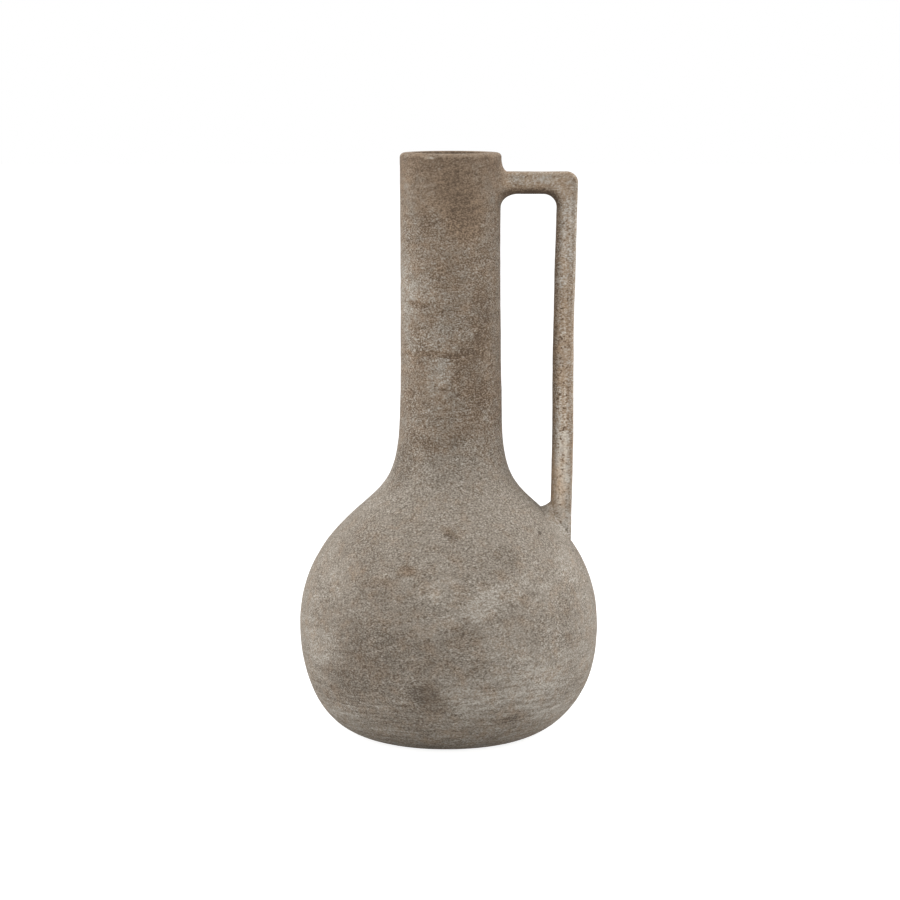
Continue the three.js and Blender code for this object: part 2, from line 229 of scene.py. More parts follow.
# The washed clay is brown, sandy and unglazed terracotta, wiped over with a thin whitish wash. It looks dry
# and matt. The sand stands out where the wash is thin and is filled where it is thick, a film stays on the
# barest clay, brown and grey flecks mix in, and soft smudges, firm wipes and wheel marks cross each other.
CLAY_DARK = "3f352d"
CLAY_BROWN = "766c60"
WASH_THIN = "999084"
WASH_THICK = "c7c0b6"
WASH_HEAPED = "e4dbcc"
HEAPED_AT = 1.35  # amount of wash at which it is thickest
WASH_STOPS = (  # amount of wash, and its colour
    (0.0, CLAY_DARK), (0.35, CLAY_BROWN), (0.65, WASH_THIN), (1.0, WASH_THICK), (HEAPED_AT, WASH_HEAPED))
WASH_PLAIN = 0.54  # amount on a plain stretch of the belly
WASH_FILM, FILM_SOFTNESS = 0.16, 0.2  # amount left on the barest clay, and how gently it gets there
THIN_BELOW = 0.55  # amount under which the clay's own brown shows
OPEN_AT, FILLED_AT = 0.2, 0.9  # amounts between which the wash fills the grain
GRAIN_OPEN, GRAIN_FILLED = 1.25, 0.75  # strength of the grain at each
RAW_DARK = "2d1f15"
RAW_LIGHT = "d4b89a"
RAW_PLAIN = 0.09  # how much of this raw brown shows on a plain stretch
CLAY_ROUGHNESS = 0.92
CLAY_IOR = 1.45
GRAIN_WIDE_MM, GRAIN_HIGH_MM = 1.35, 0.9  # sand grains, drawn coarser than real ones so that they show
GRAIN_PLAIN = 1.26  # how strongly they show on a plain stretch
GRAIN_BUMP, GRAIN_BUMP_MM = 0.5, 0.25
SCRATCH_LONG_MM, SCRATCH_SHORT_MM = 5.5, 1.5  # short marks of the brush
PIT_MM = 1.8
PIT_RIM, PIT_BED = 0.14, 0.24  # noise at the edge and at the bottom of a pit
STRAP_DRAG_WIDE_MM, STRAP_DRAG_LONG_MM = 2.2, 60  # the wash pulled along the handle
STRAP_MIDDLE_MM, STRAP_INNER_MM = 82, 76  # from the axis: the upright's foot is coarse on its inner side
MOTTLE_WIDE_MM, MOTTLE_HIGH_MM = 20, 9
CLOUD_MM = 55
STROKE_LONG_MM, STROKE_SHORT_MM = 26, 3.2  # marks of the sponge, which rise to the right
STROKE_TILT = 16
STREAK_LONG_MM, STREAK_SHORT_MM = 24, 1.8  # marks of the wheel low on the belly
WARM_MM = 9  # browner and greyer flecks
PATCH_MM = 20  # patches where the wash fills the grain more
WARP_MM, WARP_CLOUD_MM = 10, 18  # how far the edges of smudges wander, and in lumps of what size
LIP_CREST_MM, LIP_INSIDE_MM = 25.8, 24.5  # from the axis: inside the lip the clay is painted darker, as painted shade in the mouth
SMUDGE_DEPTH_MM = 40
SOFT_EDGE, FIRM_EDGE = 0.7, 0.3  # share of a smudge in which it fades out
BODY_SMUDGES = (  # angle from the front, height, half-width, half-height, tilt, more wash, more bare clay
    (13, 363, 22, 34, 15, -0.09, 0.85),  # thumbed brown under the lip
    (-23, 397, 5, 1.6, 0, 0.40, 0.0),  # a pale nick on the lip
    # paler down the neck's left side: pale wash, and partly painted light on its lit edge
    (-64, 298, 19, 50, 8, 0.13, -0.15),
    (-64, 384, 16, 16, 0, 0.10, 0.0),
    (-44, 281, 9, 12, 0, -0.10, 0.0),
    (-37, 361, 9, 20, 0, -0.09, 0.1),
    (-11, 275, 9, 22, 0, 0.10, 0.0),
    (-13, 243, 11, 20, 0, 0.10, 0.0),
    (38, 290, 13, 40, 0, -0.15, 0.0),
    (19, 260, 10, 24, 0, -0.16, 0.1),
    (32, 238, 11, 22, 0, -0.13, 0.1),
    (-56, 186, 18, 26, 0, -0.14, 0.0),
    (1, 149, 7, 5, -30, -0.20, 0.3),
    (-19, 126, 9, 5, 0, -0.10, 0.5),
    (-50, 140, 44, 26, -30, -0.07, 0.1),  # the dull side of the shoulder
    (-30, 74, 40, 32, 0, -0.16, 0.0),  # the broad dark side of the belly
    (40, 100, 40, 30, 20, 0.06, 0.0),  # the pale side
    (-31, 112, 22, 14, 0, -0.10, 0.0),
    (15, 108, 28, 16, 20, 0.10, 0.0),
    (-7, 78, 14, 12, 0, -0.09, 0.0),
    (22, 78, 26, 24, 0, 0.09, 0.0),
    (62, 124, 26, 20, 0, 0.12, 0.0),
    (-42, 47, 32, 18, 0, -0.18, 0.0),
    (38, 58, 50, 30, 10, 0.12, 0.0),
    (-10, 46, 17, 13, 0, -0.14, 0.0),  # the dark patch low on the belly
    (8, 40, 18, 12, 0, 0.12, 0.0),
    (-74, 80, 36, 36, 20, 0.04, 0.0),
    (26, 28, 20, 5, 10, -0.12, 0.0),
    (-58, 20, 34, 12, 0, 0.14, 0.0),
    (68, 76, 30, 50, 0, 0.07, 0.0),
    (52, 28, 44, 15, 0, 0.15, 0.0),
    (150, 92, 46, 34, -15, 0.14, 0.0),  # the back, where the photograph gives no guide
    (206, 66, 42, 30, 10, -0.14, 0.1),
    (250, 112, 40, 26, 15, 0.13, 0.0),
    (118, 54, 34, 24, 0, -0.13, 0.1),
    (172, 305, 17, 50, 0, -0.12, 0.2),
    (220, 262, 15, 42, 0, 0.12, 0.0),
    (194, 366, 22, 30, -15, -0.08, 0.4),
)
BODY_WIPES = (  # the same, for marks of the sponge with a firm edge
    (14, 362, 9, 12, 20, -0.07, 0.2),
    (-36, 309, 13, 11, 0, 0.11, 0.0),
    (-40, 299, 11, 2.2, 0, -0.14, 0.2),  # dark lines across the neck
    (-25, 265, 27, 2.6, 0, -0.15, 0.3),
    (-11, 255, 10, 9, 0, 0.11, 0.0),  # the pale wash below them
    (36, 267, 5, 17, 0, -0.06, 0.1),
    (13, 211, 12, 5, 35, -0.09, 0.0),
    (-31, 206, 16, 5, -15, -0.08, 0.0),
    (16, 108, 44, 9, 22, 0.11, 0.0),  # a long stroke across the pale side
    (-2, 116, 13, 12, 0, 0.10, 0.0),
    (24, 47, 52, 19, 4, 0.08, 0.0),  # the pale patch beside the dark one
    (-9, 44, 16, 9, -38, -0.10, 0.0),
    (-59, 70, 19, 15, 20, 0.11, 0.0),
    (-49, 119, 17, 15, 20, 0.07, 0.0),
    (-29, 81, 7, 5, 20, 0.10, 0.0),
    (-28, 17, 26, 4, -6, 0.07, 0.0),
    (4, 88, 18, 9, 10, -0.09, 0.0),
    (50, 90, 8, 22, 0, -0.08, 0.0),
    (27, 134, 12, 9, 0, -0.08, 0.0),
    (54, 146, 1.7, 1.6, 0, -0.55, 0.0),  # a pit beside the handle's foot
    (98, 66, 40, 11, 14, 0.10, 0.0),  # the back, guessed again
    (124, 104, 14, 10, 15, -0.09, 0.1),
    (146, 44, 34, 12, -5, -0.11, 0.0),
    (163, 116, 42, 9, 20, 0.11, 0.0),
    (188, 78, 15, 11, 0, -0.09, 0.0),
    (214, 36, 48, 14, 4, 0.10, 0.0),
    (236, 84, 18, 12, -25, 0.09, 0.0),
    (264, 58, 30, 13, 8, -0.12, 0.0),
    (203, 146, 9, 5, 20, -0.14, 0.3),
    (178, 268, 24, 2.4, 3, -0.14, 0.2),
    (206, 302, 12, 13, 0, 0.10, 0.0),
    (150, 340, 12, 18, 0, 0.08, 0.0),
)
HANDLE_SMUDGES = (  # distance from the axis, height, half-width, half-height, tilt, more wash, more bare clay
    (56, 384, 30, 8, 0, 0.06, -0.27),
    # painted shade on the underside of the arm
    (56, 371, 28, 14, 0, -0.36, 0.0),  # the underside of the arm
    (80, 372, 16, 20, 0, -0.04, -0.15),
    (80, 340, 14, 42, 0, 0.05, -0.05),
    (77, 200, 14, 80, 0, 0.06, 0.16),
    (79, 276, 12, 60, 0, -0.02, 0.30),
    (77, 192, 6, 62, 0, 0.20, 0.0),  # a pale stripe down the upright
    (84, 170, 5, 56, 0, -0.16, 0.0),
    # ochre clay at the upright's foot, made paler as painted light against the shade there
    (70, 174, 8, 36, 0, 0.24, 0.75),  # ochre at the upright's foot
    (79, 147, 13, 13, 0, 0.16, 0.0),
)


def linear(code):
    """sRGB hex to linear RGBA."""
    parts = [int(code[i:i + 2], 16) / 255 for i in (0, 2, 4)]
    return (*(c / 12.92 if c <= 0.04045 else ((c + 0.055) / 1.055) ** 2.4 for c in parts), 1.0)


def empty_material(name):
    """A material that has no nodes yet."""
    material = bpy.data.materials.new(name)
    material.use_nodes = True
    material.node_tree.nodes.clear()
    return material


def node(tree, kind, inputs=None, **settings):
    """Adds a node with its settings, and sets or links its inputs."""
    made = tree.nodes.new(kind)
    for name, value in settings.items():
        setattr(made, name, value)
    for key, value in (inputs or {}).items():
        if isinstance(value, bpy.types.NodeSocket):
            tree.links.new(value, made.inputs[key])
        else:
            made.inputs[key].default_value = value
    return made


def washed_terracotta():
    material = empty_material("washed_terracotta")
    tree = material.node_tree
    place = node(tree, "ShaderNodeTexCoord").outputs["Object"]

    def sum_of(terms, start=0.0):
        """Adds up values times weights, which may be values too."""
        total = start
        for value, weight in terms:
            total = node(tree, "ShaderNodeMath", {
                0: value, 1: weight, 2: total}, operation="MULTIPLY_ADD").outputs[0]
        return total

    def mottled(wide_mm, high_mm, detail, roughness=0.5, where=place):
        """Noise about zero, in lumps of a width and a height."""
        scaled = node(tree, "ShaderNodeMapping", {
            "Vector": where, "Scale": [1 / (size * MM) for size in (wide_mm, wide_mm, high_mm)]}).outputs[0]
        lumps = node(tree, "ShaderNodeTexNoise", {
            "Vector": scaled, "Scale": 1.0, "Detail": detail, "Roughness": roughness}).outputs["Fac"]
        return sum_of([(lumps, 1.0)], -0.5)

    # Smudges and wipes, each in a frame of its own that lies on the clay, with edges that wander
    wander = node(tree, "ShaderNodeTexNoise", {
        "Vector": place, "Scale": 1 / (WARP_CLOUD_MM * MM), "Detail": 3.0}).outputs["Color"]
    shaken = node(tree, "ShaderNodeVectorMath", {
        0: wander, 1: (WARP_MM * MM,) * 3, 2: place}, operation="MULTIPLY_ADD").outputs[0]
    settled = node(tree, "ShaderNodeVectorMath", {
        0: shaken, 1: (WARP_MM * MM / 2,) * 3}, operation="SUBTRACT").outputs[0]
    more_wash, more_raw = [], []
    spots = [(edge, math.radians(angle), math.radians(angle), radius_at(outside, height), height, *rest)
             for edge, group in ((SOFT_EDGE, BODY_SMUDGES), (FIRM_EDGE, BODY_WIPES))
             for angle, height, *rest in group]
    spots += [(SOFT_EDGE, math.pi / 2, 0.0, *rest) for rest in HANDLE_SMUDGES]
    for edge, turn, facing, reach, height, half_width, half_height, tilt, wash_change, raw_change in spots:
        local = node(tree, "ShaderNodeMapping", {
            "Vector": settled,
            "Location": (reach * math.sin(turn) * MM, -reach * math.cos(turn) * MM, height * MM),
            "Rotation": (0, -math.radians(tilt), facing),
            "Scale": (half_width * MM, SMUDGE_DEPTH_MM * MM, half_height * MM)},
            vector_type="TEXTURE").outputs[0]
        inward = node(tree, "ShaderNodeTexGradient", {
            "Vector": local}, gradient_type="SPHERICAL").outputs["Fac"]
        mask = node(tree, "ShaderNodeMapRange", {
            "Value": inward, "From Max": edge}, interpolation_type="SMOOTHSTEP").outputs[0]
        more_wash.append((mask, wash_change))
        if raw_change:
            more_raw.append((mask, raw_change))

    # Stretches of the vase that took the wash in their own way, with painted shade in the mouth and on the
    # strap's inner faces, and a painted highlight on the lip's crest
    above_table = node(tree, "ShaderNodeSeparateXYZ", {0: place}).outputs["Z"]

    def by_height(low_mm, high_mm):
        """Goes from 0 to 1 between two heights."""
        return node(tree, "ShaderNodeMapRange", {
            "Value": above_table, "From Min": low_mm * MM, "From Max": high_mm * MM},
            interpolation_type="SMOOTHSTEP").outputs[0]

    low = by_height(90, 20)
    shoulder_band = sum_of([(by_height(118, 140), by_height(228, 206))])
    on_neck = by_height(165, 225)
    thumbed = by_height(340, 380)
    below_lip = by_height(370, 392)
    # painted highlight: the crest of the lip is made paler, as where the light from above falls on it
    painted_lip_highlight = by_height(397, 399.5)
    level = node(tree, "ShaderNodeVectorMath", {0: place, 1: (1, 1, 0)}, operation="MULTIPLY").outputs[0]
    from_axis = node(tree, "ShaderNodeVectorMath", {0: level}, operation="LENGTH").outputs["Value"]
    # painted shade: the inside of the mouth is darkened below the crest
    within_lip = node(tree, "ShaderNodeMapRange", {
        "Value": from_axis, "From Min": LIP_CREST_MM * MM, "From Max": LIP_INSIDE_MM * MM}).outputs[0]
    painted_mouth_shade = sum_of([(within_lip, by_height(380, 390))])
    wash_and_painted_shade = node(tree, "ShaderNodeAttribute", attribute_name="wash_and_painted_shade").outputs["Fac"]
    on_strap = node(tree, "ShaderNodeMath", {0: wash_and_painted_shade, 1: 0.0}, operation="MAXIMUM").outputs[0]
    # painted shade: the strap's inner face and the arm's underside are darkened where the wash value is below
    # zero
    painted_inner_shade = node(tree, "ShaderNodeMapRange", {
        "Value": wash_and_painted_shade, "From Min": 0.0, "From Max": -1.0}).outputs[0]
    on_upright = sum_of([(on_strap, by_height(375, 355))])
    low_strap = sum_of([(on_strap, by_height(320, 220))])
    inner_side = node(tree, "ShaderNodeMapRange", {
        "Value": from_axis, "From Min": STRAP_MIDDLE_MM * MM, "From Max": STRAP_INNER_MM * MM}).outputs[0]
    coarse = sum_of([(low_strap, inner_side)])

    # Marks of the sand, the brush, the sponge and the wheel
    tilted = node(tree, "ShaderNodeMapping", {
        "Vector": place, "Rotation": (0, math.radians(STROKE_TILT), 0)}).outputs[0]
    grain = mottled(GRAIN_WIDE_MM, GRAIN_HIGH_MM, 1.0, 0.6)
    sandiness = sum_of([
        (on_neck, 0.20),
        (on_strap, 0.05),
        (coarse, 0.65),
        (thumbed, -0.70),
        (sum_of([(thumbed, on_strap)]), 0.35),
    ], GRAIN_PLAIN)
    pits = node(tree, "ShaderNodeMapRange", {
        "Value": mottled(PIT_MM, PIT_MM, 0.0), "From Min": PIT_RIM, "From Max": PIT_BED}).outputs[0]
    drag = mottled(STRAP_DRAG_WIDE_MM, STRAP_DRAG_LONG_MM, 1.0)
    streaks = mottled(STREAK_LONG_MM, STREAK_SHORT_MM, 2.0, 0.6)
    brushed = sum_of([
        (mottled(SCRATCH_LONG_MM, SCRATCH_SHORT_MM, 1.0, 0.5, tilted), 0.30),
        (mottled(MOTTLE_WIDE_MM, MOTTLE_HIGH_MM, 3.0, 0.6, tilted), 0.24),
        (mottled(STROKE_LONG_MM, STROKE_SHORT_MM, 2.0, 0.6, tilted), 0.26),
    ])

    # Amount of wash, first without the sand and then with it
    base = sum_of(more_wash + [
        (low, 0.02),
        (on_neck, -0.07),
        (painted_mouth_shade, -0.22),
        (painted_lip_highlight, 0.16),
        (below_lip, -0.12),
        (painted_inner_shade, -0.12),
        (on_strap, 0.42),
        (drag, sum_of([(on_upright, 0.60)])),
        (pits, sum_of([(on_upright, -0.20), (coarse, -0.40)], -0.14)),
        (brushed, sum_of([(shoulder_band, -0.55), (on_strap, -0.45)], 1.0)),
        (mottled(CLOUD_MM, CLOUD_MM, 2.0), 0.20),
        (streaks, sum_of([(low, 0.70)], 0.10)),
    ], WASH_PLAIN)
    open_share = node(tree, "ShaderNodeMapRange", {
        "Value": base, "From Min": OPEN_AT, "From Max": FILLED_AT,
        "To Min": GRAIN_OPEN, "To Max": GRAIN_FILLED}).outputs[0]
    open_patches = sum_of([(mottled(PATCH_MM, PATCH_MM, 2.0), 1.0)], open_share)
    sanded = sum_of([(sum_of([(grain, sandiness)]), open_patches)], base)
    wash = node(tree, "ShaderNodeMath", {
        0: sanded, 1: WASH_FILM, 2: FILM_SOFTNESS}, operation="SMOOTH_MAX").outputs[0]

    # Colour, from the washed clay towards its raw brown where the wash is thin or was rubbed off, and where
    # shade is painted
    thin = sum_of([(wash, -1.0)], THIN_BELOW)
    more_raw += [
        (on_neck, 0.32),
        (low, 0.08),
        (on_strap, 0.60),
        (thin, sum_of([(on_neck, 1.2)], 0.5)),
        (below_lip, 0.2),
        (painted_mouth_shade, 0.6),
        (painted_inner_shade, 0.4),
        (shoulder_band, -0.12),
        (low_strap, 0.18),
        (mottled(WARM_MM, WARM_MM, 3.0, 0.7), 2.0),
    ]
    share = sum_of([(wash, 1 / HEAPED_AT)])
    ramp = node(tree, "ShaderNodeValToRGB", {0: share})
    while len(ramp.color_ramp.elements) < len(WASH_STOPS):
        ramp.color_ramp.elements.new(0.5)
    for stop, (amount, code) in zip(ramp.color_ramp.elements, WASH_STOPS):
        stop.position = amount / HEAPED_AT
        stop.color = linear(code)
    raw = node(tree, "ShaderNodeMix", {
        0: share, 6: linear(RAW_DARK), 7: linear(RAW_LIGHT)}, data_type="RGBA").outputs[2]
    colour = node(tree, "ShaderNodeMix", {
        0: sum_of(more_raw, RAW_PLAIN), 6: ramp.outputs[0], 7: raw}, data_type="RGBA").outputs[2]

    bump = node(tree, "ShaderNodeBump", {
        "Strength": GRAIN_BUMP, "Distance": GRAIN_BUMP_MM * MM, "Height": grain})
    shader = node(tree, "ShaderNodeBsdfPrincipled", {
        "Base Color": colour,
        "Roughness": CLAY_ROUGHNESS,
        "IOR": CLAY_IOR,
        "Normal": bump.outputs[0]})
    node(tree, "ShaderNodeOutputMaterial", {"Surface": shader.outputs[0]})
    return material


terracotta = washed_terracotta()
floor_seam = FLOOR + SLIP / 2
floor_radius = radius_at(inside, floor_seam)
ring_inner = FOOT[0] - FOOT_RING
base_disc = turned("base_disc", [
    ([(0, RECESS_DEPTH), (ring_inner - RECESS_SLOPE, RECESS_DEPTH), (ring_inner, 0)], False),
    (stretch(outside, 0, floor_seam, SKIN_STEP), True),
    (seam_edge(floor_seam, -1, keyed=False), False),
    ([(floor_radius, floor_seam), (floor_radius, FLOOR), (0, FLOOR)], False),
], BODY_AROUND, terracotta)

# Lower bowl
# A bowl of the same clay, thrown on the wheel, stands on the slab and is luted to it with slip. Its top
# edge is grooved to key the seam at the girth.
girth_seam = GIRTH[1]
lower_bowl = turned("lower_bowl", [
    (stretch(outside, floor_seam, girth_seam, SKIN_STEP), True),
    (seam_edge(girth_seam, -1, keyed=True), False),
    (stretch(inside, floor_seam, girth_seam, HIDDEN_STEP)[::-1], False),
    (seam_edge(floor_seam, 1, keyed=False)[::-1], False),
], BODY_AROUND, terracotta)

# Shoulder dome
# A second section of the same clay, thrown on the wheel and set upside down on the bowl. It is luted there,
# wedge in groove, and drawn in to the root of the neck.
neck_seam = NECK_ROOT[1]
shoulder_dome = turned("shoulder_dome", [
    (stretch(outside, girth_seam, neck_seam, SKIN_STEP), True),
    (seam_edge(neck_seam, -1, keyed=True), False),
    (stretch(inside, girth_seam, neck_seam, HIDDEN_STEP)[::-1], False),
    (seam_edge(girth_seam, 1, keyed=True)[::-1], False),
], BODY_AROUND, terracotta)

# Neck
# A tube of the same clay, thrown with a slight waist and luted onto the dome. Its wall thickens to the lip,
# which is rounded over with a wet cloth, more outside than inside.
LIP_OUTER, LIP_INNER = 3.3, 1.6
outer_top, inner_top = LIP[1] - LIP_OUTER, LIP[1] - LIP_INNER


def quarter(centre, radius, start):
    """A quarter of a circle, in steps of ten degrees."""
    return [np.add(centre, radius * heading(start + turn)) for turn in range(0, 91, 10)]


neck = turned("neck", [
    (stretch(outside, neck_seam, outer_top, SKIN_STEP), True),
    (quarter((radius_at(outside, outer_top) - LIP_OUTER, outer_top), LIP_OUTER, 0)[1:], True),
    (quarter((radius_at(inside, inner_top) + LIP_INNER, inner_top), LIP_INNER, 90)[:-1], True),
    (stretch(inside, neck_seam, inner_top, HIDDEN_STEP)[::-1], False),
    (seam_edge(neck_seam, 1, keyed=True)[::-1], False),
], BODY_AROUND, terracotta)

# Luting slip in the body's seams
# Liquid clay that glues the sections, brushed onto both edges before they are joined. It stays inside the
# wall, under the smoothed lips of the seams.
SLIP_COLOUR = "a89a89"
SLIP_GRIT_MM = 2.0
SLIP_FIT = 0.05


def speckled(name, size_mm, detail, dark, light, roughness, ior):
    """A plain coat that drifts between two colours in lumps of a size."""
    material = empty_material(name)
    tree = material.node_tree
    place = node(tree, "ShaderNodeTexCoord").outputs["Object"]
    lumps = node(tree, "ShaderNodeTexNoise", {
        "Vector": place, "Scale": 1 / (size_mm * MM), "Detail": detail}).outputs["Fac"]
    colour = node(tree, "ShaderNodeMix", {
        0: lumps, 6: linear(dark), 7: linear(light)}, data_type="RGBA").outputs[2]
    shader = node(tree, "ShaderNodeBsdfPrincipled", {
        "Base Color": colour, "Roughness": roughness, "IOR": ior})
    node(tree, "ShaderNodeOutputMaterial", {"Surface": shader.outputs[0]})
    return material


# The slip dries matt and paler than the clay, whose brown grit shows in it.
slip = speckled("luting_slip", SLIP_GRIT_MM, 2.0, CLAY_BROWN, SLIP_COLOUR, CLAY_ROUGHNESS, CLAY_IOR)
for name, height, keyed in (
        ("floor_slip", floor_seam, False), ("girth_slip", girth_seam, True), ("neck_slip", neck_seam, True)):
    above = [(radius, z - SLIP_FIT) for radius, z in seam_edge(height, 1, keyed)[1:-1]]
    below = [(radius, z + SLIP_FIT) for radius, z in seam_edge(height, -1, keyed)[1:-1]]
    ring = turned(name, [(below[::-1], False), (above, False)], BODY_AROUND // 2, slip)

# Handle arm and upright
# A flat strap of clay with edges rubbed round. The level arm is saddle-cut onto the neck and mitred
# to the upright, which leans in slightly and is saddle-cut onto the shoulder.
ARM_TOP, ARM_UNDER = 387.0, 372.0
HANDLE_REACH = 86.0
UPRIGHT_LEAN = math.tan(math.radians(0.77))
UPRIGHT_THICK_TOP, UPRIGHT_THICK_FOOT = 13.7, 14.3
UPRIGHT_BOW, FOOT_KICK = 0.75, 1.6  # how far its middle bends in and its foot stands out
BOW_LOW, BOW_HIGH = 190, 370
KICK_LOW, KICK_HIGH = 130, 250
STRAP_HALF = 10.0
STRAP_OUTER_ROUND, STRAP_INNER_ROUND = 3.6, 5.5
CORNER_OUTER, CORNER_INNER = 7.0, 9.5
ROUND_PULL = 0.55  # share of the way to the corner that makes a curve nearly round
BEND_ARM, BEND_UPRIGHT = 52.0, 350.0  # where the strap starts and ends its bend
ROUND_POINTS, FLAT_POINTS = 7, 5  # points on each rounded edge and each flat of the section
ARM_STEPS, BEND_STEPS, UPRIGHT_STEPS = 16, 49, 130
SADDLE_FITS = 6  # rounds in which the upright's foot is fitted to the shoulder
SADDLE_SHARES = (0, 0.35, 0.7)  # loops across a saddle cut, as shares of its rim
MITRE_SHARE = 0.86  # share of the section that the slip in the corner takes up
STRAP_WASH_AND_SHADE = (  # across the strap, from its inner face (-1) to its outer (1): painted shade (-1) to thick wash (1), with a painted shade band and a painted highlight by the outer face
    (-1.0, -0.7), (-0.8, -0.25), (-0.6, 0.35), (-0.3, 0.9), (0.3, 0.9), (0.5, 0.6), (0.75, 0.5), (0.9, 0.7))
FOOT_FADE, FADE_FROM = 0.85, 0.86  # share of that look lost at the foot, from this share of the way down


def upright_faces(z):
    """The upright's inner and outer face at a height."""
    bow = UPRIGHT_BOW * np.sin(math.pi * np.clip((z - BOW_LOW) / (BOW_HIGH - BOW_LOW), 0, 1)) ** 2
    outer = HANDLE_REACH - (ARM_TOP - z) * UPRIGHT_LEAN - bow + FOOT_KICK * smooth(z, KICK_HIGH, KICK_LOW)
    thick = np.interp(z, [SHOULDER[1], ARM_UNDER], [UPRIGHT_THICK_FOOT, UPRIGHT_THICK_TOP])
    return outer - thick, outer


def strap_section(half):
    """A strap's section, as (towards the outer face, across) with the outward directions."""
    corners = ((1, -1, STRAP_OUTER_ROUND, 90), (-1, -1, STRAP_INNER_ROUND, 180),
               (-1, 1, STRAP_INNER_ROUND, 270), (1, 1, STRAP_OUTER_ROUND, 360))
    arcs = []
    for out, across, radius, end in corners:
        ways = np.array([heading(turn) * (1, -1) for turn in np.linspace(end - 90, end, ROUND_POINTS)])
        arcs.append(((out * (half - radius), across * (STRAP_HALF - radius)) + radius * ways, ways))
    offsets, outward = [], []
    for (arc, ways), (following, _) in zip(arcs, arcs[1:] + arcs[:1]):
        offsets += [arc, np.linspace(arc[-1], following[0], FLAT_POINTS + 2)[1:-1]]
        outward += [ways, np.repeat(ways[-1:], FLAT_POINTS, axis=0)]
    return np.concatenate(offsets), np.concatenate(outward)


def bend(start, corner, end, radius):
    """A path round a rounded corner."""
    before = corner + radius * (start - corner) / np.linalg.norm(start - corner)
    after = corner + radius * (end - corner) / np.linalg.norm(end - corner)
    arc = bezier(
        before, before + ROUND_PULL * (corner - before), after + ROUND_PULL * (corner - after), after)
    return np.concatenate([[start], arc, [end]])


half_arm = (ARM_TOP - ARM_UNDER) / 2
# the strap's wash across its section, with painted shade on its inner face and a painted shade band and
# painted highlight by its outer face
strap_wash_and_shade = np.interp(strap_section(half_arm)[0][:, 0] / half_arm, *zip(*STRAP_WASH_AND_SHADE))


def station(outer, inner):
    """A section of the strap between an outer and an inner point of the handle's plane."""
    towards = (outer - inner) / np.linalg.norm(outer - inner)
    offsets, ways = strap_section(np.linalg.norm(outer - inner) / 2)

    def lifted(flat, base):
        plane = base + flat[:, :1] * towards
        return np.stack([plane[:, 0], flat[:, 1], plane[:, 1]], axis=1)

    return lifted(offsets, (outer + inner) / 2), lifted(ways, np.zeros(2))


def neck_wall(points, gap):
    """The points moved along X onto the neck, or off it by a gap."""
    moved = points.copy()
    moved[:, 0] = np.sqrt((radius_at(outside, points[:, 2]) + gap) ** 2 - points[:, 1] ** 2)
    return moved


def on_shoulder(points, gap):
    """The points moved down onto the shoulder, or above it by a gap."""
    moved = points.copy()
    falling = outside[(outside[:, 1] > GIRTH[1]) & (outside[:, 1] < NECK_ROOT[1])][::-1]
    reach = np.hypot(points[:, 0], points[:, 1])
    moved[:, 2] = np.interp(reach, falling[:, 0], falling[:, 1]) + gap
    return moved


def towards_middle(points, share):
    middle = points.mean(axis=0)
    return middle + (points - middle) * share


upright_inner, upright_outer = upright_faces(BEND_UPRIGHT)
outer_path = evenly(bend(
    np.array([BEND_ARM, ARM_TOP]), np.array([HANDLE_REACH, ARM_TOP]),
    np.array([upright_outer, BEND_UPRIGHT]), CORNER_OUTER), BEND_STEPS)
inner_path = evenly(bend(
    np.array([BEND_ARM, ARM_UNDER]), np.array([upright_faces(ARM_UNDER)[0], ARM_UNDER]),
    np.array([upright_inner, BEND_UPRIGHT]), CORNER_INNER), BEND_STEPS)
bend_rows = [station(outer, inner) for outer, inner in zip(outer_path, inner_path)]
mitre = BEND_STEPS // 2
mitre_rim = bend_rows[mitre][0]
mitre_way = np.array([1, 0, -1]) / math.sqrt(2)


def mitre_face(side):
    """The strap's cut face at the corner, hollowed by half the slip towards its own side."""
    rim = towards_middle(mitre_rim, MITRE_SHARE)
    hollow = side * mitre_way * SLIP / 2
    return [(rim, None), (rim + hollow, None), (towards_middle(mitre_rim, 0)[:1] + hollow, None)]


def loops(wall, rim, gap, shares):
    """Loops over a wall within a rim, the first of them shrunk to its middle point."""
    found = [wall(towards_middle(rim, share), gap) for share in shares]
    return [found[0][:1], *found[1:]]


arm_end, arm_ways = bend_rows[0]
arm_rim = neck_wall(arm_end, SLIP)
arm_saddle = [(loop, None) for loop in loops(neck_wall, arm_end, SLIP, SADDLE_SHARES)]
arm_length = [(arm_rim + (arm_end - arm_rim) * t, arm_ways) for t in np.linspace(0, 1, ARM_STEPS)[:-1]]
arm_rows = arm_saddle + arm_length + bend_rows[:mitre + 1] + mitre_face(-1)
handle_arm = skinned("handle_arm", arm_rows, False, terracotta, [strap_wash_and_shade] * len(arm_rows))

upright_top, upright_ways = bend_rows[-1]
upright_share = (upright_top[:, 0] - upright_inner) / (upright_outer - upright_inner)


def upright_at(heights):
    """The upright's section, each of its points at a height of its own."""
    inner, outer = upright_faces(heights)
    return np.stack([inner + upright_share * (outer - inner), upright_top[:, 1], heights], axis=1)


